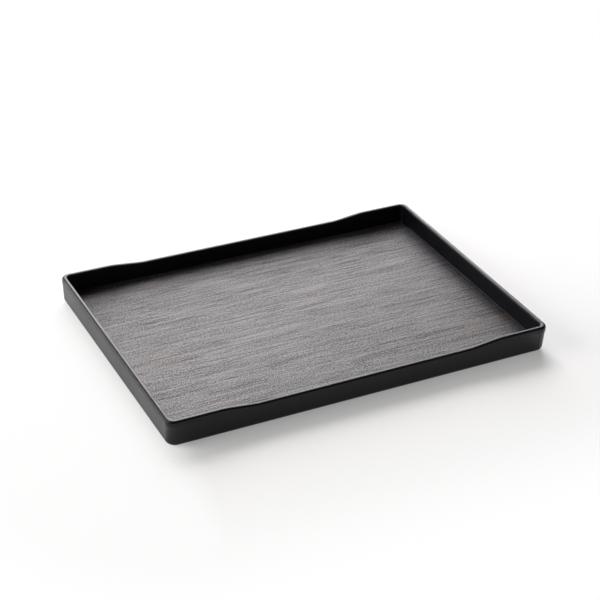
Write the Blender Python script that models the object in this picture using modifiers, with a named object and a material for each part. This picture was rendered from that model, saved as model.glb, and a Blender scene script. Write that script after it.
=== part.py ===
"""Hotel room tray: a moulded black shell, a wood-grain floor panel and four rubber feet.

Metres, +Z up. The origin is on the table, under the middle of the tray.
X runs along the tray's length, and Y from its front to its back.
"""

import math

import bmesh
import bpy

MM = 0.001

# Whole tray
TRAY_LENGTH = 420 * MM
TRAY_WIDTH = 300 * MM
TRAY_HEIGHT = 30 * MM
FOOT_STANDOFF = 0.8 * MM

# Shell walls and rim
WALL = 5 * MM
RIM_CORNER_RADIUS = 9 * MM
BASE_CORNER_RADIUS = 10 * MM
WELL_CORNER_RADIUS = 5 * MM
BOTTOM_EDGE_RADIUS = 5 * MM
RIM_ROUNDING = 2.2 * MM
FLOOR_FILLET = 0.5 * MM
WALL_DRAFT = math.radians(1.5)
RIM_BAND_HEIGHT = 6.2 * MM
RIM_BAND_STEP = 0.25 * MM
RIM_BAND_STEP_HEIGHT = 0.5 * MM

# Lowered middle of both long sides, between the ramps down from the ears at the corners
EAR_LENGTH = 58 * MM
RAMP_LENGTH = 34 * MM
DIP_DEPTH = 3.8 * MM
DIP_SKIM = 0.02 * MM
RAMP_BLEND_SHARE = 0.12
BLEND_STEP_SHARES = (-1, -1 / 3, 1 / 3, 1)

# Shell floor and underside
FLOOR_HEIGHT = 9.3 * MM
UNDERSIDE_RECESS_DEPTH = 3 * MM
UNDERSIDE_FRAME_WIDTH = 26 * MM
UNDERSIDE_CORNER_RADIUS = 14 * MM

# Floor panel and its seat
PANEL_THICKNESS = 1.2 * MM
PANEL_PROUD = 0.2 * MM
PANEL_EDGE_BEVEL = 0.25 * MM
SEAT_BORDER = 0.2 * MM

# Rubber feet and their pockets
FOOT_RADIUS = 5 * MM
FOOT_EDGE_RADIUS = 0.6 * MM
FOOT_POCKET_DEPTH = 1.6 * MM

# Gap between pieces that touch, and how far cutters run past what they cut
FIT_GAP = 0.3 * MM
OVERRUN = 4 * MM
WELD_DISTANCE = 0.01 * MM

# Facets
CORNER_SEGMENTS = 8
BOTTOM_SEGMENTS = 5
ROUNDING_SEGMENTS = 4
PANEL_BEVEL_SEGMENTS = 2
FOOT_SEGMENTS = 32
FOOT_EDGE_SEGMENTS = 4
SHARP_ANGLE = math.radians(60)
SMOOTH_ANGLE = math.radians(35)

# Heights and insets that follow from the values above
BAND_BOTTOM = TRAY_HEIGHT - RIM_BAND_HEIGHT
BAND_STEP_BOTTOM = BAND_BOTTOM - RIM_BAND_STEP_HEIGHT
BASE_INSET = RIM_BAND_STEP + (BAND_STEP_BOTTOM - FOOT_STANDOFF) * math.tan(WALL_DRAFT)
DIP_LENGTH = TRAY_LENGTH - 2 * (EAR_LENGTH + RAMP_LENGTH)
RIM_WIDTH = WALL + RIM_BAND_STEP
FLOOR_WALL_INSET = RIM_WIDTH + (BAND_STEP_BOTTOM - FLOOR_HEIGHT) * math.tan(WALL_DRAFT)
SEAT_INSET = FLOOR_WALL_INSET + FLOOR_FILLET + SEAT_BORDER
SEAT_CORNER_RADIUS = WELL_CORNER_RADIUS - FLOOR_FILLET - SEAT_BORDER
PANEL_TOP = FLOOR_HEIGHT + PANEL_PROUD
PANEL_BOTTOM = PANEL_TOP - PANEL_THICKNESS
SEAT_BOTTOM = PANEL_BOTTOM - FIT_GAP
RECESS_TOP = FOOT_STANDOFF + UNDERSIDE_RECESS_DEPTH
FOOT_INSET = (BASE_INSET + BOTTOM_EDGE_RADIUS + UNDERSIDE_FRAME_WIDTH) / 2


def clear_scene():
    for old in list(bpy.data.objects):
        bpy.data.objects.remove(old, do_unlink=True)


def new_collection(name, parent):
    collection = bpy.data.collections.new(name)
    parent.children.link(collection)
    return collection


def new_material(name, colour, roughness):
    material = bpy.data.materials.new(name)
    material.use_nodes = True
    shader = material.node_tree.nodes["Principled BSDF"]
    shader.inputs["Base Color"].default_value = (*colour, 1)
    shader.inputs["Roughness"].default_value = roughness
    shader.inputs["Metallic"].default_value = 0
    return material


def new_object(name, mesh, collection):
    piece = bpy.data.objects.new(name, mesh)
    collection.objects.link(piece)
    return piece


def hide_cutter(cutter):
    cutter.hide_render = True
    cutter.display_type = "WIRE"


def rounded_rectangle(inset, radius):
    """Points of the tray's outline, drawn in by the inset, anticlockwise from the right."""
    half_length = TRAY_LENGTH / 2 - inset
    half_width = TRAY_WIDTH / 2 - inset
    centres = (
        (half_length - radius, half_width - radius),
        (radius - half_length, half_width - radius),
        (radius - half_length, radius - half_width),
        (half_length - radius, radius - half_width),
    )
    points = []
    for quarter, (centre_x, centre_y) in enumerate(centres):
        for step in range(CORNER_SEGMENTS + 1):
            angle = math.pi / 2 * (quarter + step / CORNER_SEGMENTS)
            points.append((centre_x + radius * math.cos(angle), centre_y + radius * math.sin(angle)))
    return points


def extruded_outline(name, points, thickness, collection):
    """A flat outline, extruded to both sides of its own plane, as a closed mesh."""
    curve = bpy.data.curves.new(name, "CURVE")
    curve.dimensions = "2D"
    curve.fill_mode = "BOTH"
    curve.extrude = thickness / 2
    spline = curve.splines.new("POLY")
    spline.points.add(len(points) - 1)
    for point, (x, y) in zip(spline.points, points):
        point.co = (x, y, 0, 1)
    spline.use_cyclic_u = True
    outline = new_object(name, curve, collection)

    graph = bpy.context.evaluated_depsgraph_get()
    mesh = bpy.data.meshes.new_from_object(outline.evaluated_get(graph))
    shape = bmesh.new()
    shape.from_mesh(mesh)
    bmesh.ops.remove_doubles(shape, verts=shape.verts, dist=WELD_DISTANCE)
    shape.to_mesh(mesh)
    shape.free()
    bpy.data.objects.remove(outline, do_unlink=True)
    return new_object(name, mesh, collection)


def slab(name, inset, radius, low, high, collection):
    """A rounded rectangle with upright sides, between two heights."""
    piece = extruded_outline(name, rounded_rectangle(inset, radius), high - low, collection)
    piece.location.z = (low + high) / 2
    return piece


def drafted_block(name, levels, collection):
    """A closed block through rounded rectangles, each an inset, a corner radius and a height."""
    block = bmesh.new()
    inset, radius, height = levels[0]
    ring = [block.verts.new((x, y, height)) for x, y in rounded_rectangle(inset, radius)]
    block.faces.new(reversed(ring))
    for inset, radius, height in levels[1:]:
        edges = [block.edges.get(pair) for pair in zip(ring, ring[1:] + ring[:1])]
        grown = bmesh.ops.extrude_edge_only(block, edges=edges)["geom"]
        raised = {item for item in grown if isinstance(item, bmesh.types.BMVert)}
        ring = [next(e.other_vert(v) for e in v.link_edges if e.other_vert(v) in raised) for v in ring]
        for vert, (x, y) in zip(ring, rounded_rectangle(inset, radius)):
            vert.co = (x, y, height)
    block.faces.new(ring)
    bmesh.ops.recalc_face_normals(block, faces=block.faces)
    mesh = bpy.data.meshes.new(name)
    block.to_mesh(mesh)
    block.free()
    return new_object(name, mesh, collection)


def ramp_rise(along):
    """Share of the dip's depth regained at a share of the ramp's length, with rounded ends."""
    if along < RAMP_BLEND_SHARE:
        return (along + RAMP_BLEND_SHARE) ** 2 / (4 * RAMP_BLEND_SHARE)
    if along <= 1 - RAMP_BLEND_SHARE:
        return along
    return 1 - (1 + RAMP_BLEND_SHARE - along) ** 2 / (4 * RAMP_BLEND_SHARE)


def dip_cutter(collection):
    """A bar across the tray that lowers the middle of both long sides.

    Its ramps end a skim above the rim, so the cut runs out on the ears without a step.
    """
    top = TRAY_HEIGHT + DIP_SKIM
    right_ramp = []
    for end in (0, 1):
        for step in BLEND_STEP_SHARES:
            along = end + step * RAMP_BLEND_SHARE
            drop = (DIP_DEPTH + DIP_SKIM) * (1 - ramp_rise(along))
            right_ramp.append((DIP_LENGTH / 2 + along * RAMP_LENGTH, top - drop))
    right_ramp.append((right_ramp[-1][0], top + OVERRUN))
    left_ramp = [(-x, z) for x, z in reversed(right_ramp)]
    cutter = extruded_outline("long_side_dips", left_ramp + right_ramp, TRAY_WIDTH + OVERRUN, collection)
    cutter.rotation_euler.x = math.pi / 2
    return cutter


def add_bevel(piece, width, segments):
    bevel = piece.modifiers.new("rounded_edges", "BEVEL")
    bevel.limit_method = "ANGLE"
    bevel.angle_limit = SHARP_ANGLE
    bevel.width = width
    bevel.segments = segments
    bevel.use_clamp_overlap = False
    return bevel


def cut(piece, cutter):
    boolean = piece.modifiers.new(cutter.name, "BOOLEAN")
    boolean.operation = "DIFFERENCE"
    boolean.solver = "EXACT"
    boolean.object = cutter
    hide_cutter(cutter)


def make_shell(parts, cutters, material):
    shell = drafted_block("tray_shell", (
        (BASE_INSET, BASE_CORNER_RADIUS, FOOT_STANDOFF),
        (RIM_BAND_STEP, RIM_CORNER_RADIUS, BAND_STEP_BOTTOM),
        (0, RIM_CORNER_RADIUS, BAND_BOTTOM),
        (0, RIM_CORNER_RADIUS, TRAY_HEIGHT),
    ), parts)
    shell.data.materials.append(material)

    bottom_edge = shell.vertex_groups.new(name="bottom_edge")
    base_points = [v.index for v in shell.data.vertices if v.co.z < FOOT_STANDOFF + WELD_DISTANCE]
    bottom_edge.add(base_points, 1, "REPLACE")
    bottom_bevel = add_bevel(shell, BOTTOM_EDGE_RADIUS, BOTTOM_SEGMENTS)
    bottom_bevel.limit_method = "VGROUP"
    bottom_bevel.vertex_group = bottom_edge.name

    well = drafted_block("well", (
        (FLOOR_WALL_INSET, WELL_CORNER_RADIUS, FLOOR_HEIGHT),
        (RIM_WIDTH, WELL_CORNER_RADIUS, TRAY_HEIGHT + OVERRUN),
    ), cutters)
    add_bevel(well, FLOOR_FILLET, ROUNDING_SEGMENTS)
    cut(shell, dip_cutter(cutters))
    cut(shell, well)
    add_bevel(shell, RIM_ROUNDING, ROUNDING_SEGMENTS)

    cut(shell, slab(
        "panel_seat", SEAT_INSET, SEAT_CORNER_RADIUS, SEAT_BOTTOM, FLOOR_HEIGHT + OVERRUN, cutters))
    cut(shell, slab(
        "underside_recess", UNDERSIDE_FRAME_WIDTH, UNDERSIDE_CORNER_RADIUS,
        FOOT_STANDOFF - OVERRUN, RECESS_TOP, cutters))
    for name, place in foot_places().items():
        cut(shell, foot_pocket(name, place, cutters))


def make_panel(parts, material):
    panel = slab(
        "floor_panel", SEAT_INSET + FIT_GAP, SEAT_CORNER_RADIUS - FIT_GAP, PANEL_BOTTOM, PANEL_TOP, parts)
    panel.data.materials.append(material)
    add_bevel(panel, PANEL_EDGE_BEVEL, PANEL_BEVEL_SEGMENTS)


def foot_places():
    """The four feet, by name, under the corners of the shell's underside frame."""
    reach_x = TRAY_LENGTH / 2 - FOOT_INSET
    reach_y = TRAY_WIDTH / 2 - FOOT_INSET
    return {
        "foot_front_left": (-reach_x, -reach_y),
        "foot_front_right": (reach_x, -reach_y),
        "foot_back_left": (-reach_x, reach_y),
        "foot_back_right": (reach_x, reach_y),
    }


def foot_pocket(name, place, cutters):
    depth = FOOT_POCKET_DEPTH + OVERRUN
    shape = bmesh.new()
    bmesh.ops.create_cone(
        shape, cap_ends=True, segments=FOOT_SEGMENTS,
        radius1=FOOT_RADIUS + FIT_GAP, radius2=FOOT_RADIUS + FIT_GAP, depth=depth)
    mesh = bpy.data.meshes.new(name + "_pocket")
    shape.to_mesh(mesh)
    shape.free()
    pocket = new_object(name + "_pocket", mesh, cutters)
    pocket.location = (*place, FOOT_STANDOFF + FOOT_POCKET_DEPTH - depth / 2)
    return pocket


def foot_profile():
    """Half section of a foot, from the middle of its top round to the middle of its sole."""
    top = FOOT_STANDOFF + FOOT_POCKET_DEPTH - FIT_GAP
    points = [(0, top), (FOOT_RADIUS, top)]
    for step in range(FOOT_EDGE_SEGMENTS + 1):
        angle = math.pi / 2 * step / FOOT_EDGE_SEGMENTS
        points.append((
            FOOT_RADIUS - FOOT_EDGE_RADIUS + FOOT_EDGE_RADIUS * math.cos(angle),
            FOOT_EDGE_RADIUS - FOOT_EDGE_RADIUS * math.sin(angle)))
    points.append((0, 0))
    return points


def make_feet(parts, material):
    points = [(x, 0, z) for x, z in foot_profile()]
    mesh = bpy.data.meshes.new("rubber_foot")
    mesh.from_pydata(points, [(i, i + 1) for i in range(len(points) - 1)], [])
    mesh.materials.append(material)
    for name, place in foot_places().items():
        foot = new_object(name, mesh, parts)
        foot.location = (*place, 0)
        turn = foot.modifiers.new("turned", "SCREW")
        turn.steps = FOOT_SEGMENTS
        turn.render_steps = FOOT_SEGMENTS
        turn.use_merge_vertices = True
        turn.merge_threshold = WELD_DISTANCE


def smooth_shading(piece):
    piece.data.shade_smooth()
    piece.data.set_sharp_from_angle(angle=SMOOTH_ANGLE)


def build_tray():
    clear_scene()
    parts = new_collection("hotel_room_tray", bpy.context.scene.collection)
    cutters = new_collection("cutters", bpy.context.scene.collection)
    black_shell = new_material("black_shell", (0.012, 0.012, 0.013), 0.35)
    grained_floor = new_material("grained_floor", (0.03, 0.028, 0.03), 0.48)
    black_rubber = new_material("black_rubber", (0.02, 0.02, 0.02), 0.8)

    make_shell(parts, cutters, black_shell)
    make_panel(parts, grained_floor)
    make_feet(parts, black_rubber)
    for piece in parts.objects:
        smooth_shading(piece)


build_tray()
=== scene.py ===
"""The looks of a hotel room tray: satin black shell, embossed wood-grain floor, rubber feet.

The frame gives the overall boxes. The shell, the floor panel and the feet are finer meshes of
the same shapes, and each replaces its CAD node.
"""

import math

import bmesh
import bpy
from mathutils import Matrix, Vector


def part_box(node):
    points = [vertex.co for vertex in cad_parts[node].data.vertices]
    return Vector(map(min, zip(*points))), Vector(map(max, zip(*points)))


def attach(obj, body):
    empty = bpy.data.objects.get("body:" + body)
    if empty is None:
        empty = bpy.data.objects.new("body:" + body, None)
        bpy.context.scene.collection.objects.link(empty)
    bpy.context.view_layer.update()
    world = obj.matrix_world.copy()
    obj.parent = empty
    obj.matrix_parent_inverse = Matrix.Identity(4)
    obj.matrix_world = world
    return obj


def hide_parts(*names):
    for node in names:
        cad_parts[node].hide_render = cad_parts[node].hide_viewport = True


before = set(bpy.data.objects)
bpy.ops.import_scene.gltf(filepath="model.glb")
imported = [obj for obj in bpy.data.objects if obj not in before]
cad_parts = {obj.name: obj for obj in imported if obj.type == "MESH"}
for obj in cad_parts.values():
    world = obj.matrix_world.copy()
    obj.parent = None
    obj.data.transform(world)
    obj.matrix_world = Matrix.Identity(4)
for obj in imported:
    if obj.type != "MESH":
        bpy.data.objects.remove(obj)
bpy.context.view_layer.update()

MM = 0.001

# Boxes of the nodes, as lowest and highest corners
SHELL_LOW, SHELL_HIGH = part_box("tray_shell")
PANEL_LOW, PANEL_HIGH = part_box("floor_panel")
HALF_LENGTH = SHELL_HIGH[0]
HALF_WIDTH = SHELL_HIGH[1]
RIM_TOP = SHELL_HIGH[2]
BASE_BOTTOM = SHELL_LOW[2]

# Shell walls and rim
RIM_WIDTH = 5.3 * MM
RIM_OUTER_ROUNDING = 2.5 * MM
RIM_INNER_ROUNDING = 2.0 * MM
RIM_CORNER_RADIUS = 9 * MM
BAND_BOTTOM = 23.6 * MM
BAND_STEP = 0.25 * MM
BAND_STEP_BOTTOM = 23.1 * MM
BASE_INSET = 0.71 * MM
BASE_CORNER_RADIUS = 10 * MM
BOTTOM_EDGE_RADIUS = 5 * MM
WELL_FOOT_INSET = 5.62 * MM
WELL_CORNER_RADIUS = 5 * MM
FLOOR_FILLET = 0.5 * MM

# Lowered middle of both long sides
DIP_DEPTH = 3.8 * MM
DIP_LENGTH = 236 * MM
RAMP_LENGTH = 34 * MM
RAMP_BLEND_SHARE = 0.12

# Seat of the panel and recess underneath
PANEL_PROUD = 0.2 * MM
PANEL_GAP = 0.3 * MM
PANEL_CORNER_RADIUS = 4 * MM
SHELL_FLOOR = PANEL_HIGH[2] - PANEL_PROUD
SEAT_INSET = HALF_LENGTH - PANEL_HIGH[0] - PANEL_GAP
SEAT_CORNER_RADIUS = PANEL_CORNER_RADIUS + PANEL_GAP
SEAT_BOTTOM = PANEL_LOW[2] - PANEL_GAP
UNDERSIDE_FRAME_WIDTH = 26 * MM
UNDERSIDE_CORNER_RADIUS = 14 * MM
UNDERSIDE_RECESS_TOP = 3.8 * MM
FOOT_POCKET_TOP = 2.4 * MM
FOOT_POCKET_GAP = 0.3 * MM

# Fineness of the shell
CORNER_STEPS = 24
ROUNDING_STEPS = 12
FILLET_STEPS = 6
BOTTOM_STEPS = 10
LONG_SIDE_STEP = 2 * MM
LONG_SIDE_REACH = 168 * MM
SHORT_SIDE_STEP = 18 * MM
SHORT_SIDE_REACH = 108 * MM
POCKET_SEGMENTS = 64
SHARP_EDGE = math.radians(35)
WELD = 0.002 * MM

# Embossed grain of the panel, along X. Feature sizes are along X, Y and Z
EMBOSSING_COLUMNS = 166
EMBOSSING_ROWS = 570
EMBOSSING_SEED = 4.0
STREAK_SIZE = (80 * MM, 2.6 * MM, 1.0)
STREAK_RANGE = (0.66, 0.34)
STREAK_DEPTH = 0.04 * MM
PORE_SIZE = (36 * MM, 1.4 * MM, 1.0)
PORE_RANGE = (0.56, 0.72)
PORE_DEPTH = 0.03 * MM
PANEL_EDGE_ROUNDING = 0.25 * MM
PANEL_EDGE_STEPS = 2

# Feet
FOOT_NAMES = ("foot_front_left", "foot_front_right", "foot_back_left", "foot_back_right")
FOOT_SEGMENTS = 64
FOOT_EDGE_RADIUS = 0.6 * MM
FOOT_EDGE_STEPS = 6
SOLE_GROOVE_DEPTH = 0.25 * MM
SOLE_GROOVE_WIDTH = 0.35 * MM
SOLE_GROOVE_RADIUS_SHARES = (0.3, 0.52, 0.74)

# The camera looks at the middle of the tray, level with its rim
CAMERA_HEADING = math.radians(27.47)
CAMERA_PITCH = math.radians(30.85)
CAMERA_ROLL = math.radians(1.85)
CAMERA_DISTANCE = 1.6732
CAMERA_LENS_MM = 96.5
SENSOR_MM = 36.0


# Camera

def place_camera():
    aim = Vector((0, 0, RIM_TOP))
    level = math.cos(CAMERA_PITCH)
    forward = Vector((
        level * math.sin(CAMERA_HEADING), level * math.cos(CAMERA_HEADING),
        -math.sin(CAMERA_PITCH)))
    camera_data = bpy.data.cameras.new("photo_camera")
    camera_data.lens = CAMERA_LENS_MM
    camera_data.sensor_width = SENSOR_MM
    camera = bpy.data.objects.new("photo_camera", camera_data)
    bpy.context.scene.collection.objects.link(camera)
    place = Matrix.Translation(aim - forward * CAMERA_DISTANCE)
    turn = forward.to_track_quat("-Z", "Y").to_matrix().to_4x4()
    camera.matrix_world = place @ turn @ Matrix.Rotation(CAMERA_ROLL, 4, "Z")
    bpy.context.scene.camera = camera


# Node helpers

# Sockets of the mix node in its colour mode: both colours and the blend of them
MIX_FIRST_COLOUR = 6
MIX_SECOND_COLOUR = 7
MIX_RESULT_COLOUR = 2


def plug(tree, value, socket):
    """Links the value to the socket if it is a socket too, or else sets it there."""
    if isinstance(value, bpy.types.NodeSocket):
        tree.links.new(value, socket)
    else:
        socket.default_value = value


def add_node(tree, kind, inputs=None, **settings):
    """A new node with its settings, and its inputs filled with values or other sockets."""
    node = tree.nodes.new(kind)
    for name, value in settings.items():
        setattr(node, name, value)
    for key, value in (inputs or {}).items():
        plug(tree, value, node.inputs[key])
    return node


def calculate(tree, operation, *values):
    inputs = dict(enumerate(values))
    return add_node(tree, "ShaderNodeMath", inputs, operation=operation).outputs[0]


def calculate_vector(tree, operation, *values):
    inputs = dict(enumerate(values))
    return add_node(tree, "ShaderNodeVectorMath", inputs, operation=operation).outputs[0]


def split(tree, vector):
    """The X, Y and Z of a vector."""
    return add_node(tree, "ShaderNodeSeparateXYZ", {0: vector}).outputs


def combine(tree, x=0.0, y=0.0, z=0.0):
    """A vector of X, Y and Z."""
    return add_node(tree, "ShaderNodeCombineXYZ", {0: x, 1: y, 2: z}).outputs[0]


def sum_of_shares(tree, first, first_share, second, second_share):
    """Both values times their shares, added up."""
    return calculate(
        tree, "MULTIPLY_ADD", first, first_share, calculate(tree, "MULTIPLY", second, second_share))


def distance_past(tree, value, limit):
    """How far a value lies past the limit on either side of 0, or 0 within it."""
    past = calculate(tree, "SUBTRACT", calculate(tree, "ABSOLUTE", value), limit)
    return calculate(tree, "MAXIMUM", past, 0.0)


def ease(tree, value, low, high, low_result=0.0, high_result=1.0):
    """The value moved smoothly from one range to another, and held at its ends."""
    return add_node(tree, "ShaderNodeMapRange", {
        "Value": value, "From Min": low, "From Max": high,
        "To Min": low_result, "To Max": high_result,
    }, interpolation_type="SMOOTHSTEP").outputs["Result"]


def noise(tree, place, size, detail, roughness, seed):
    """Noise between 0 and 1 at a place, in features of about this size."""
    return add_node(tree, "ShaderNodeTexNoise", {
        "Vector": place, "W": seed, "Scale": 1 / size, "Detail": detail, "Roughness": roughness,
    }, noise_dimensions="4D").outputs[0]


def long_noise(tree, place, sizes, detail, roughness, seed):
    """Noise between 0 and 1 at a place, in features of these sizes along X, Y and Z."""
    counted = calculate_vector(tree, "MULTIPLY", place, tuple(1 / size for size in sizes))
    return noise(tree, counted, 1.0, detail, roughness, seed)


def blend_colours(tree, share, first, second):
    """The first colour, turned into the second by the share."""
    mix = tree.nodes.new("ShaderNodeMix")
    mix.data_type = "RGBA"
    plug(tree, share, mix.inputs["Factor"])
    plug(tree, first, mix.inputs[MIX_FIRST_COLOUR])
    plug(tree, second, mix.inputs[MIX_SECOND_COLOUR])
    return mix.outputs[MIX_RESULT_COLOUR]


def new_material(name):
    """An empty Principled material: its node tree, its shader and the object's coordinates."""
    material = bpy.data.materials.new(name)
    material.use_nodes = True
    tree = material.node_tree
    place = add_node(tree, "ShaderNodeTexCoord").outputs["Object"]
    return material, tree, tree.nodes["Principled BSDF"], place


def add_bump(tree, shader, height, depth):
    """Fine relief, whose height runs from 0 to 1 over the given depth."""
    bump = add_node(tree, "ShaderNodeBump", {"Height": height, "Strength": 1.0, "Distance": depth})
    tree.links.new(bump.outputs["Normal"], shader.inputs["Normal"])


# Materials

# Most of a noise lies in this range
NOISE_RANGE = (0.3, 0.7)

# Black shell. Its rim is where the faces above the band's step turn up
SHELL_IOR = 1.34
SHELL_BLACK = (0.0025, 0.0027, 0.0058, 1)
SHELL_MOTTLE = (0.0038, 0.0041, 0.0076, 1)
MOTTLE_SIZE = 3 * MM
CLOUD_SIZE = 60 * MM
CLOUD_RANGE = (0.25, 0.75)
CLOUD_ROUGHNESS = (0.31, 0.36)
TURNED_UP = (0.3, 0.9)
HANDLING_SIZE = 18 * MM
HANDLING_ROUGHNESS = (0.05, 0.09)
SPARK_SIZE = 0.35 * MM
SPARK_DEPTH = 0.004 * MM

# Wood-grain laminate. Feature sizes are along X, Y and Z
LAMINATE_IOR = 1.3
LAMINATE_REFLECTION = (1.0, 0.968, 0.968, 1)
GRAIN_SIZE = (1.4 * MM, 1.8 * MM, 10 * MM)
LINE_SIZE = (85 * MM, 3 * MM, 10 * MM)
CUT_SIZE = (40 * MM, 1.8 * MM, 10 * MM)
CUT_RANGE = (0.6, 0.7)
PIT_SIZE = (4.5 * MM, 3 * MM, 10 * MM)
PIT_RANGE = (0.68, 0.76)
BAND_SIZE = (120 * MM, 9 * MM, 10 * MM)
TINT_SIZE = (110 * MM, 22 * MM, 10 * MM)
TONE_LINE_SHARE = 0.32
TONE_GRAIN_SHARE = 0.68
TONE_RANGE = (0.4, 0.6)
LAMINATE_BLACK = (0.004, 0.004, 0.005, 1)
LAMINATE_GREY = (0.062, 0.058, 0.06, 1)
WARM_TINT = (0.08, 0.045, 0.035, 1)
WARM_RANGE = (0.5, 0.72)
COOL_TINT = (0.025, 0.03, 0.065, 1)
COOL_RANGE = (0.5, 0.28)
TINT_SHARE = 0.3
TONE_ROUGHNESS = (0.55, 0.31)
BAND_ROUGHNESS = (0.03, -0.03)
MARK_ROUGHNESS = 0.1
RELIEF_GRAIN_SHARE = 0.6
RELIEF_LINE_SHARE = 0.4
RELIEF_MARK_SHARE = 0.2
RELIEF_DEPTH = 0.45 * MM

# Rubber of the feet
RUBBER_BLACK = (0.018, 0.018, 0.019, 1)
DUST_COLOUR = (0.07, 0.068, 0.065, 1)
DUST_SIZE = 0.8 * MM
DUST_RANGE = (0.5, 0.75)
DUST_SHARE = 0.5
RUBBER_PIT_SIZE = 0.25 * MM
RUBBER_PIT_DEPTH = 0.02 * MM
RUBBER_ROUGHNESS = (0.7, 0.85)


def satin_black_shell():
    """Moulded black plastic: a fine spark texture, faint mottling and a rim dulled by handling."""
    material, tree, shader, place = new_material("satin_black_shell")
    shader.inputs["IOR"].default_value = SHELL_IOR

    clouds = noise(tree, place, CLOUD_SIZE, detail=3.0, roughness=0.55, seed=1.0)
    mottle = noise(tree, place, MOTTLE_SIZE, detail=3.0, roughness=0.6, seed=2.0)
    colour = blend_colours(tree, ease(tree, mottle, *NOISE_RANGE), SHELL_BLACK, SHELL_MOTTLE)
    tree.links.new(colour, shader.inputs["Base Color"])

    facing = split(tree, add_node(tree, "ShaderNodeNewGeometry").outputs["Normal"])
    on_rim = calculate(
        tree, "MULTIPLY", ease(tree, facing["Z"], *TURNED_UP),
        ease(tree, split(tree, place)["Z"], BAND_STEP_BOTTOM, BAND_BOTTOM))
    handling = noise(tree, place, HANDLING_SIZE, detail=2.0, roughness=0.5, seed=3.0)
    handling = ease(tree, handling, *NOISE_RANGE, *HANDLING_ROUGHNESS)

    roughness = ease(tree, clouds, *CLOUD_RANGE, *CLOUD_ROUGHNESS)
    roughness = calculate(tree, "MULTIPLY_ADD", on_rim, handling, roughness)
    tree.links.new(roughness, shader.inputs["Roughness"])

    spark = noise(tree, place, SPARK_SIZE, detail=2.0, roughness=0.6, seed=4.0)
    add_bump(tree, shader, spark, SPARK_DEPTH)
    return material


def grained_laminate():
    """Black laminate: fine grains, long lines and pits along X, with a soft sheen."""
    material, tree, shader, place = new_material("grained_laminate")
    shader.inputs["IOR"].default_value = LAMINATE_IOR
    shader.inputs["Specular Tint"].default_value = LAMINATE_REFLECTION

    grains = long_noise(tree, place, GRAIN_SIZE, detail=2.0, roughness=0.65, seed=2.0)
    lines = long_noise(tree, place, LINE_SIZE, detail=2.0, roughness=0.7, seed=1.0)
    cuts = long_noise(tree, place, CUT_SIZE, detail=1.0, roughness=0.5, seed=4.0)
    pits = long_noise(tree, place, PIT_SIZE, detail=1.0, roughness=0.5, seed=6.0)
    bands = long_noise(tree, place, BAND_SIZE, detail=1.0, roughness=0.5, seed=3.0)
    tints = long_noise(tree, place, TINT_SIZE, detail=2.0, roughness=0.5, seed=5.0)
    marks = calculate(
        tree, "MAXIMUM", ease(tree, cuts, *CUT_RANGE), ease(tree, pits, *PIT_RANGE))

    tone = sum_of_shares(tree, lines, TONE_LINE_SHARE, grains, TONE_GRAIN_SHARE)
    colour = blend_colours(tree, ease(tree, tone, *TONE_RANGE), LAMINATE_BLACK, LAMINATE_GREY)
    for tint, tint_range in ((WARM_TINT, WARM_RANGE), (COOL_TINT, COOL_RANGE)):
        share = ease(tree, tints, *tint_range, 0.0, TINT_SHARE)
        colour = blend_colours(tree, share, colour, tint)
    colour = blend_colours(tree, marks, colour, LAMINATE_BLACK)
    tree.links.new(colour, shader.inputs["Base Color"])

    roughness = ease(tree, tone, *TONE_RANGE, *TONE_ROUGHNESS)
    roughness = calculate(
        tree, "ADD", roughness, ease(tree, bands, *NOISE_RANGE, *BAND_ROUGHNESS))
    roughness = calculate(tree, "MULTIPLY_ADD", marks, MARK_ROUGHNESS, roughness)
    tree.links.new(roughness, shader.inputs["Roughness"])

    relief = sum_of_shares(tree, grains, RELIEF_GRAIN_SHARE, lines, RELIEF_LINE_SHARE)
    relief = calculate(
        tree, "SUBTRACT", relief, calculate(tree, "MULTIPLY", marks, RELIEF_MARK_SHARE))
    add_bump(tree, shader, relief, RELIEF_DEPTH)
    return material


def black_rubber():
    """Moulded rubber: matt and finely pitted, with some pale dust."""
    material, tree, shader, place = new_material("matt_black_rubber")
    dust = noise(tree, place, DUST_SIZE, detail=4.0, roughness=0.65, seed=1.0)
    dust = ease(tree, dust, *DUST_RANGE, 0.0, DUST_SHARE)
    colour = blend_colours(tree, dust, RUBBER_BLACK, DUST_COLOUR)
    tree.links.new(colour, shader.inputs["Base Color"])
    pits = noise(tree, place, RUBBER_PIT_SIZE, detail=3.0, roughness=0.6, seed=2.0)
    roughness = ease(tree, pits, *NOISE_RANGE, *RUBBER_ROUGHNESS)
    tree.links.new(roughness, shader.inputs["Roughness"])
    add_bump(tree, shader, pits, RUBBER_PIT_DEPTH)
    return material


# Meshes

def mesh_object(name, mesh, material):
    """A piece in the scene. The material is for a mesh that has none yet."""
    piece = bpy.data.objects.new(name, mesh)
    bpy.context.scene.collection.objects.link(piece)
    if not mesh.materials:
        mesh.materials.append(material)
    return piece


def finish_mesh(body, mesh):
    """The mesh filled from the body, smooth but for its sharp edges."""
    body.to_mesh(mesh)
    body.free()
    mesh.shade_smooth()
    mesh.set_sharp_from_angle(angle=SHARP_EDGE)
    return mesh


def evaluated_mesh(piece):
    """The piece's mesh with its modifiers applied, as a plain mesh of its own."""
    graph = bpy.context.evaluated_depsgraph_get()
    return bpy.data.meshes.new_from_object(piece.evaluated_get(graph))


def quarter_turn(steps):
    """Pairs that run round a quarter circle, from (0, 1) to (1, 0)."""
    angles = [math.pi / 2 * step / steps for step in range(steps + 1)]
    return [(math.sin(angle), math.cos(angle)) for angle in angles]


def circle(body, middle, radius, segments):
    """A closed loop of points round the middle. For a radius of 0 they are all one point."""
    if radius == 0:
        return [body.verts.new(middle)] * segments
    angles = [2 * math.pi * step / segments for step in range(segments)]
    return [
        body.verts.new(middle + radius * Vector((math.cos(angle), math.sin(angle), 0)))
        for angle in angles]


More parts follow.
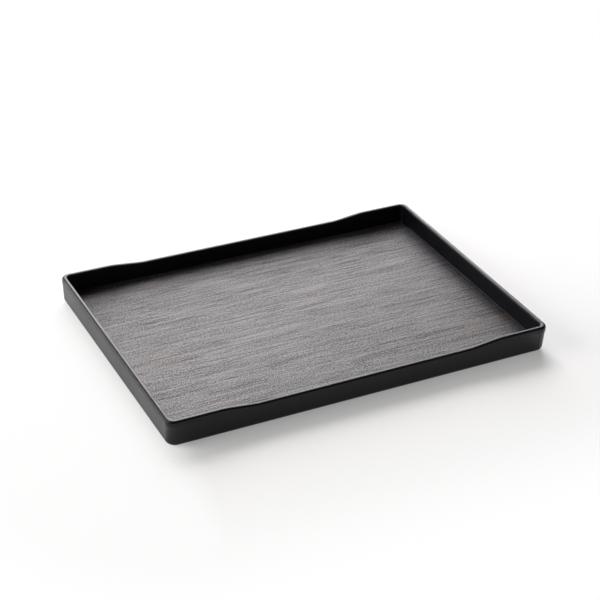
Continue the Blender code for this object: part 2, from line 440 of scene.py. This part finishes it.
def join_loops(body, lower, upper):
    """Faces between two closed loops of as many points, triangles beside a loop of one point."""
    for corners in zip(lower, lower[1:] + lower[:1], upper[1:] + upper[:1], upper):
        body.faces.new(tuple(dict.fromkeys(corners)))


def foot_shape(name):
    """A foot's place along X and Y, its radius and the height of its top, from its CAD box."""
    low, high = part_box(name)
    return (low[0] + high[0]) / 2, (low[1] + high[1]) / 2, (high[0] - low[0]) / 2, high[2]


# Shell

def spaced(reach, step):
    """Places from minus the reach to the reach, about a step apart."""
    count = round(2 * reach / step)
    return [reach * (2 * index / count - 1) for index in range(count + 1)]


def outline(inset, radius):
    """The tray's outline drawn in by the inset, anticlockwise from the right side's front end."""
    corner_x = HALF_LENGTH - inset - radius
    corner_y = HALF_WIDTH - inset - radius
    long_side = spaced(LONG_SIDE_REACH, LONG_SIDE_STEP)
    short_side = spaced(SHORT_SIDE_REACH, SHORT_SIDE_STEP)
    sides = (
        [(corner_x + radius, y) for y in short_side],
        [(-x, corner_y + radius) for x in long_side],
        [(-corner_x - radius, -y) for y in short_side],
        [(x, -corner_y - radius) for x in long_side],
    )
    middles = (
        (corner_x, corner_y), (-corner_x, corner_y), (-corner_x, -corner_y), (corner_x, -corner_y))
    points = []
    for quarter, (side, (middle_x, middle_y)) in enumerate(zip(sides, middles)):
        points += side
        for step in range(CORNER_STEPS + 1):
            angle = math.pi / 2 * (quarter + step / CORNER_STEPS)
            points.append((
                middle_x + radius * math.cos(angle), middle_y + radius * math.sin(angle)))
    return points


def rim_drop(x):
    """How far the rim lies below the ears at a place along the tray."""
    along = (abs(x) - DIP_LENGTH / 2) / RAMP_LENGTH
    blend = RAMP_BLEND_SHARE
    if along <= -blend:
        return DIP_DEPTH
    if along >= 1 + blend:
        return 0
    if along < blend:
        rise = (along + blend) ** 2 / (4 * blend)
    elif along <= 1 - blend:
        rise = along
    else:
        rise = 1 - (1 + blend - along) ** 2 / (4 * blend)
    return DIP_DEPTH * (1 - rise)


def shell_rings():
    """The shell's rings, from the panel's seat over the rim to the recess underneath.

    Each is an inset, a corner radius, a height, and whether it dips with the rim.
    """
    rings = [
        (SEAT_INSET, SEAT_CORNER_RADIUS, SEAT_BOTTOM, False),
        (SEAT_INSET, SEAT_CORNER_RADIUS, SHELL_FLOOR, False),
    ]
    for out, down in quarter_turn(FILLET_STEPS):
        inset = WELL_FOOT_INSET + FLOOR_FILLET * (1 - out)
        radius = WELL_CORNER_RADIUS - FLOOR_FILLET * (1 - out)
        rings.append((inset, radius, SHELL_FLOOR + FLOOR_FILLET * (1 - down), False))
    for up, inward in quarter_turn(ROUNDING_STEPS):
        inset = RIM_WIDTH - RIM_INNER_ROUNDING * (1 - inward)
        radius = WELL_CORNER_RADIUS + RIM_INNER_ROUNDING * (1 - inward)
        rings.append((inset, radius, RIM_TOP - RIM_INNER_ROUNDING * (1 - up), True))
    for out, up in quarter_turn(ROUNDING_STEPS):
        inset = RIM_OUTER_ROUNDING * (1 - out)
        radius = RIM_CORNER_RADIUS - inset
        rings.append((inset, radius, RIM_TOP - RIM_OUTER_ROUNDING * (1 - up), True))
    rings += [
        (0, RIM_CORNER_RADIUS, BAND_BOTTOM, False),
        (BAND_STEP, RIM_CORNER_RADIUS, BAND_STEP_BOTTOM, False),
    ]
    for down, out in quarter_turn(BOTTOM_STEPS):
        inset = BASE_INSET + BOTTOM_EDGE_RADIUS * (1 - out)
        radius = BASE_CORNER_RADIUS - BOTTOM_EDGE_RADIUS * (1 - out)
        rings.append((inset, radius, BASE_BOTTOM + BOTTOM_EDGE_RADIUS * (1 - down), False))
    rings += [
        (UNDERSIDE_FRAME_WIDTH, UNDERSIDE_CORNER_RADIUS, BASE_BOTTOM, False),
        (UNDERSIDE_FRAME_WIDTH, UNDERSIDE_CORNER_RADIUS, UNDERSIDE_RECESS_TOP, False),
    ]
    return rings


def loft(rings):
    """A body through the rings, closed over its first and last, and left open under the base."""
    body = bmesh.new()
    loops = []
    for inset, radius, height, dips in rings:
        loops.append([
            body.verts.new((x, y, height - (rim_drop(x) if dips else 0)))
            for x, y in outline(inset, radius)])
    heights = [height for inset, radius, height, dips in rings]
    for lower, upper, low, high in zip(loops, loops[1:], heights, heights[1:]):
        if low == high == BASE_BOTTOM:
            continue
        join_loops(body, lower, upper)
    body.faces.new(loops[0])
    body.faces.new(loops[-1])
    return body


def add_foot_pockets(body):
    """Round pockets for the feet, and the flat underside between them and the open edges."""
    for name in FOOT_NAMES:
        x, y, radius, _ = foot_shape(name)
        bottom, top = (
            circle(body, Vector((x, y, height)), radius + FOOT_POCKET_GAP, POCKET_SEGMENTS)
            for height in (BASE_BOTTOM, FOOT_POCKET_TOP))
        join_loops(body, bottom, top)
        body.faces.new(top)
    open_edges = [edge for edge in body.edges if edge.is_boundary]
    bmesh.ops.triangle_fill(body, use_beauty=True, edges=open_edges, normal=(0, 0, -1))


def make_shell(material):
    body = loft(shell_rings())
    add_foot_pockets(body)
    bmesh.ops.recalc_face_normals(body, faces=body.faces)
    mesh = finish_mesh(body, bpy.data.meshes.new("moulded_shell"))
    shell = mesh_object("moulded_shell", mesh, material)
    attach(shell, "root")
    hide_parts("tray_shell")


# Floor panel, a Geometry Nodes tree

# Sockets of the compare node in its whole-number mode
COMPARE_FIRST = 2
COMPARE_SECOND = 3


def panel_inputs(tree, material):
    """The tree's named inputs, as values by identifier."""
    kinds = (
        ("NodeSocketFloat", {
            "Half Length": PANEL_HIGH[0] - PANEL_EDGE_ROUNDING,
            "Half Width": PANEL_HIGH[1] - PANEL_EDGE_ROUNDING,
            "Corner Radius": PANEL_CORNER_RADIUS - PANEL_EDGE_ROUNDING,
            "Top": PANEL_HIGH[2],
            "Bottom": PANEL_LOW[2],
            "Edge Rounding": PANEL_EDGE_ROUNDING,
            "Streak Depth": STREAK_DEPTH,
            "Pore Depth": PORE_DEPTH,
            "Seed": EMBOSSING_SEED,
        }),
        ("NodeSocketInt", {"Columns": EMBOSSING_COLUMNS, "Rows": EMBOSSING_ROWS}),
        ("NodeSocketMaterial", {"Material": material}),
    )
    values = {}
    for kind, inputs in kinds:
        for name, value in inputs.items():
            socket = tree.interface.new_socket(name=name, in_out="INPUT", socket_type=kind)
            values[socket.identifier] = value
    return values


def extrude_to(tree, geometry, edges, position):
    """New faces from the edges to a position, and the edges that they end in."""
    grown = add_node(tree, "GeometryNodeExtrudeMesh", {
        "Mesh": geometry, "Selection": edges, "Offset Scale": 0.0}, mode="EDGES").outputs
    moved = add_node(tree, "GeometryNodeSetPosition", {
        "Geometry": grown["Mesh"], "Selection": grown["Top"], "Position": position})
    return moved.outputs[0], grown["Top"]


def panel_tree(material):
    """A grid shaped to the panel's outline, embossed with grain, with rounded edges and sides."""
    tree = bpy.data.node_groups.new("embossed_panel", "GeometryNodeTree")
    tree.is_modifier = True
    values = panel_inputs(tree, material)
    tree.interface.new_socket(name="Geometry", in_out="OUTPUT", socket_type="NodeSocketGeometry")
    given = add_node(tree, "NodeGroupInput").outputs
    here = add_node(tree, "GeometryNodeInputPosition").outputs[0]
    place = split(tree, here)
    corner_radius = given["Corner Radius"]
    corner_x = calculate(tree, "SUBTRACT", given["Half Length"], corner_radius)
    corner_y = calculate(tree, "SUBTRACT", given["Half Width"], corner_radius)

    # A grid from -1 to 1 along both axes, with each row stretched to the panel's outline
    grid = add_node(tree, "GeometryNodeMeshGrid", {
        "Size X": 2.0, "Size Y": 2.0, "Vertices X": given["Columns"], "Vertices Y": given["Rows"]})
    y = calculate(tree, "MULTIPLY", place["Y"], given["Half Width"])
    past_corner = distance_past(tree, y, corner_y)
    square = calculate(
        tree, "SUBTRACT", calculate(tree, "MULTIPLY", corner_radius, corner_radius),
        calculate(tree, "MULTIPLY", past_corner, past_corner))
    row_end = calculate(
        tree, "ADD", corner_x, calculate(tree, "SQRT", calculate(tree, "MAXIMUM", square, 0.0)))
    x = calculate(tree, "MULTIPLY", place["X"], row_end)
    flat = add_node(tree, "GeometryNodeSetPosition", {
        "Geometry": grid.outputs["Mesh"], "Position": combine(tree, x, y, given["Top"])})

    streaks = long_noise(tree, here, STREAK_SIZE, detail=2.0, roughness=0.6, seed=given["Seed"])
    pore_seed = calculate(tree, "ADD", given["Seed"], 1.0)
    pores = long_noise(tree, here, PORE_SIZE, detail=1.0, roughness=0.5, seed=pore_seed)
    sunk = calculate(
        tree, "ADD",
        calculate(tree, "MULTIPLY", ease(tree, streaks, *STREAK_RANGE), given["Streak Depth"]),
        calculate(tree, "MULTIPLY", ease(tree, pores, *PORE_RANGE), given["Pore Depth"]))
    embossed = add_node(tree, "GeometryNodeSetPosition", {
        "Geometry": flat.outputs[0],
        "Offset": combine(tree, z=calculate(tree, "MULTIPLY", sunk, -1.0))})

    reach = []
    for value, corner in ((place["X"], corner_x), (place["Y"], corner_y)):
        past = distance_past(tree, value, calculate(tree, "SUBTRACT", corner, WELD))
        reach.append(calculate(tree, "MULTIPLY", past, calculate(tree, "SIGN", value)))
    outward = calculate_vector(tree, "NORMALIZE", combine(tree, *reach))

    geometry = embossed.outputs[0]
    faces_beside = add_node(tree, "GeometryNodeInputMeshEdgeNeighbors").outputs[0]
    edges = add_node(tree, "FunctionNodeCompare", {
        COMPARE_FIRST: faces_beside, COMPARE_SECOND: 1,
    }, data_type="INT", operation="EQUAL").outputs[0]
    turns = quarter_turn(PANEL_EDGE_STEPS)
    for (out_before, _), (out, down) in zip(turns, turns[1:]):
        step_out = calculate(tree, "MULTIPLY", given["Edge Rounding"], out - out_before)
        level = calculate(
            tree, "SUBTRACT", given["Top"],
            calculate(tree, "MULTIPLY", given["Edge Rounding"], 1 - down))
        moved = split(tree, calculate_vector(
            tree, "MULTIPLY_ADD", outward, combine(tree, step_out, step_out), here))
        geometry, edges = extrude_to(
            tree, geometry, edges, combine(tree, moved["X"], moved["Y"], level))
    geometry, edges = extrude_to(
        tree, geometry, edges, combine(tree, place["X"], place["Y"], given["Bottom"]))

    solid = add_node(tree, "GeometryNodeRealizeInstances", {0: geometry}).outputs[0]
    coated = add_node(
        tree, "GeometryNodeSetMaterial", {"Geometry": solid, "Material": given["Material"]})
    tree.links.new(coated.outputs[0], tree.nodes.new("NodeGroupOutput").inputs[0])
    return tree, values


def make_panel(material):
    tree, values = panel_tree(material)
    carrier = mesh_object("panel_carrier", bpy.data.meshes.new("panel_carrier"), material)
    nodes = carrier.modifiers.new("embossed_panel", "NODES")
    nodes.node_group = tree
    for identifier, value in values.items():
        nodes[identifier] = value
    mesh = evaluated_mesh(carrier)
    bpy.data.objects.remove(carrier, do_unlink=True)

    body = bmesh.new()
    body.from_mesh(mesh)
    bmesh.ops.holes_fill(body, edges=[edge for edge in body.edges if edge.is_boundary])
    bmesh.ops.recalc_face_normals(body, faces=body.faces)
    mesh.name = "grained_panel"
    panel = mesh_object("grained_panel", finish_mesh(body, mesh), material)
    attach(panel, "root")
    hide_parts("floor_panel")


# Rubber feet

def foot_profile(radius, top):
    """Half section of a foot as radius and height, from the top's middle round to the sole's."""
    points = [(0, top), (radius, top)]
    for out, down in reversed(quarter_turn(FOOT_EDGE_STEPS)):
        points.append((radius - FOOT_EDGE_RADIUS * (1 - out), FOOT_EDGE_RADIUS * (1 - down)))
    for share in reversed(SOLE_GROOVE_RADIUS_SHARES):
        middle = radius * share
        points += [
            (middle + SOLE_GROOVE_WIDTH, 0), (middle + SOLE_GROOVE_WIDTH / 2, SOLE_GROOVE_DEPTH),
            (middle - SOLE_GROOVE_WIDTH / 2, SOLE_GROOVE_DEPTH), (middle - SOLE_GROOVE_WIDTH, 0)]
    points.append((0, 0))
    return points


def make_feet(material):
    for name in FOOT_NAMES:
        x, y, radius, top = foot_shape(name)
        body = bmesh.new()
        loops = [
            circle(body, Vector((x, y, height)), reach, FOOT_SEGMENTS)
            for reach, height in foot_profile(radius, top)]
        for lower, upper in zip(loops, loops[1:]):
            join_loops(body, lower, upper)
        bmesh.ops.recalc_face_normals(body, faces=body.faces)
        mesh = finish_mesh(body, bpy.data.meshes.new("rubber_" + name))
        foot = mesh_object("rubber_" + name, mesh, material)
        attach(foot, "root")
        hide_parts(name)


# Studio

# The floor's share of plain white rises with the distance from the tray. Towards the left it rises
# further: a painted pool of light, a brighter glow on the floor that the tray's left wall reflects
FLOOR_REACH = 40.0
FLOOR_COLOUR = (0.9, 0.9, 0.9, 1)
WHITE = (1, 1, 1, 1)
SHADOW_REACH = 20 * MM
WHITE_REACH = 230 * MM
SHADOW_WHITE_SHARE = 0.29
LEFT_PAINTED_GLOW_SHARE = 0.82
LEFT_PAINTED_GLOW_BLEND = (-0.18, -0.225)

# Watts per square metre of a lamp that a mirror shows at a brightness of 1
AREA_LAMP_FACTOR = 4
ROSY_WHITE = (1.0, 0.972, 0.98)
WARM_WHITE = (1.0, 0.98, 0.9)
COOL_WHITE = (0.99, 0.98, 1.0)

# The room's brightness is by the height of the direction, from the horizon up
ROOM_COLOUR = (0.97, 0.985, 1.0, 1)
HORIZON_RANGE = (0.04, 0.16)
HORIZON_BRIGHTNESS = 1.0
ROOM_BRIGHTNESS = 0.07


def pale_floor_material():
    """A white floor: it takes the tray's shadow beside it and turns plain white further out. On its
    left it glows brighter, a painted pool of light that the tray's left wall reflects.
    """
    material = bpy.data.materials.new("pale_floor")
    material.use_nodes = True
    tree = material.node_tree
    tree.nodes.clear()
    place = add_node(tree, "ShaderNodeTexCoord").outputs["Object"]
    offset = calculate_vector(tree, "ABSOLUTE", place)
    offset = calculate_vector(tree, "SUBTRACT", offset, (HALF_LENGTH, HALF_WIDTH, 0))
    offset = calculate_vector(tree, "MAXIMUM", offset, (0, 0, 0))
    distance = add_node(tree, "ShaderNodeVectorMath", {0: offset}, operation="LENGTH")
    # The second share is painted light: a brighter glow on the floor left of the tray, reflected by
    # its left wall
    share = calculate(
        tree, "MAXIMUM",
        ease(tree, distance.outputs["Value"], SHADOW_REACH, WHITE_REACH, SHADOW_WHITE_SHARE, 1.0),
        ease(tree, split(tree, place)["X"], *LEFT_PAINTED_GLOW_BLEND, SHADOW_WHITE_SHARE, LEFT_PAINTED_GLOW_SHARE))
    path = add_node(tree, "ShaderNodeLightPath").outputs
    seen = calculate(
        tree, "ADD", calculate(tree, "ADD", path["Is Camera Ray"], path["Is Glossy Ray"]),
        path["Is Transmission Ray"])
    seen = calculate(tree, "MINIMUM", seen, 1.0)
    matt = add_node(tree, "ShaderNodeBsdfDiffuse", {"Color": FLOOR_COLOUR})
    white = add_node(tree, "ShaderNodeEmission", {"Color": WHITE, "Strength": 1.0})
    mix = add_node(tree, "ShaderNodeMixShader", {
        0: calculate(tree, "MULTIPLY", seen, share), 1: matt.outputs[0], 2: white.outputs[0]})
    add_node(tree, "ShaderNodeOutputMaterial", {"Surface": mix.outputs[0]})
    return material


def make_floor():
    body = bmesh.new()
    bmesh.ops.create_grid(body, x_segments=1, y_segments=1, size=FLOOR_REACH)
    mesh = bpy.data.meshes.new("studio_floor")
    body.to_mesh(mesh)
    body.free()
    mesh_object("studio_floor", mesh, pale_floor_material())


def add_softbox(name, heading, elevation, distance, width, height, brightness, colour):
    """A rectangular lamp that faces the tray, placed by its direction from the middle.

    The heading turns from +Y towards +X. The brightness is what a mirror would show of it.
    """
    lamp_data = bpy.data.lights.new(name, "AREA")
    lamp_data.shape = "RECTANGLE"
    lamp_data.size = width
    lamp_data.size_y = height
    lamp_data.energy = brightness * AREA_LAMP_FACTOR * width * height
    lamp_data.color = colour
    lamp = bpy.data.objects.new(name, lamp_data)
    bpy.context.scene.collection.objects.link(lamp)
    heading = math.radians(heading)
    elevation = math.radians(elevation)
    lamp.location = distance * Vector((
        math.cos(elevation) * math.sin(heading), math.cos(elevation) * math.cos(heading),
        math.sin(elevation)))
    lamp.rotation_mode = "QUATERNION"
    lamp.rotation_quaternion = (-lamp.location).to_track_quat("-Z", "Y")


def light_room():
    """Dim light all round, with a white band at the horizon."""
    world = bpy.data.worlds.new("studio")
    world.use_nodes = True
    tree = world.node_tree
    direction = add_node(tree, "ShaderNodeTexCoord").outputs["Generated"]
    strength = ease(
        tree, split(tree, direction)["Z"], *HORIZON_RANGE, HORIZON_BRIGHTNESS, ROOM_BRIGHTNESS)
    background = tree.nodes["Background"]
    background.inputs["Color"].default_value = ROOM_COLOUR
    tree.links.new(strength, background.inputs["Strength"])
    bpy.context.scene.world = world


def make_studio():
    make_floor()
    add_softbox(
        "back_softbox", heading=22, elevation=30, distance=2.6, width=1.75, height=2.4,
        brightness=6.4, colour=ROSY_WHITE)
    add_softbox(
        "near_softbox", heading=10, elevation=45, distance=0.9, width=0.35, height=0.3,
        brightness=4.6, colour=ROSY_WHITE)
    add_softbox(
        "left_softbox", heading=-78, elevation=26, distance=2.4, width=1.5, height=1.2,
        brightness=5.0, colour=WARM_WHITE)
    add_softbox(
        "low_softbox", heading=-34, elevation=4.8, distance=2.6, width=1.0, height=0.4,
        brightness=10.5, colour=COOL_WHITE)
    light_room()


place_camera()
make_shell(satin_black_shell())
make_panel(grained_laminate())
make_feet(black_rubber())
make_studio()
bpy.context.scene.view_settings.view_transform = "Standard"
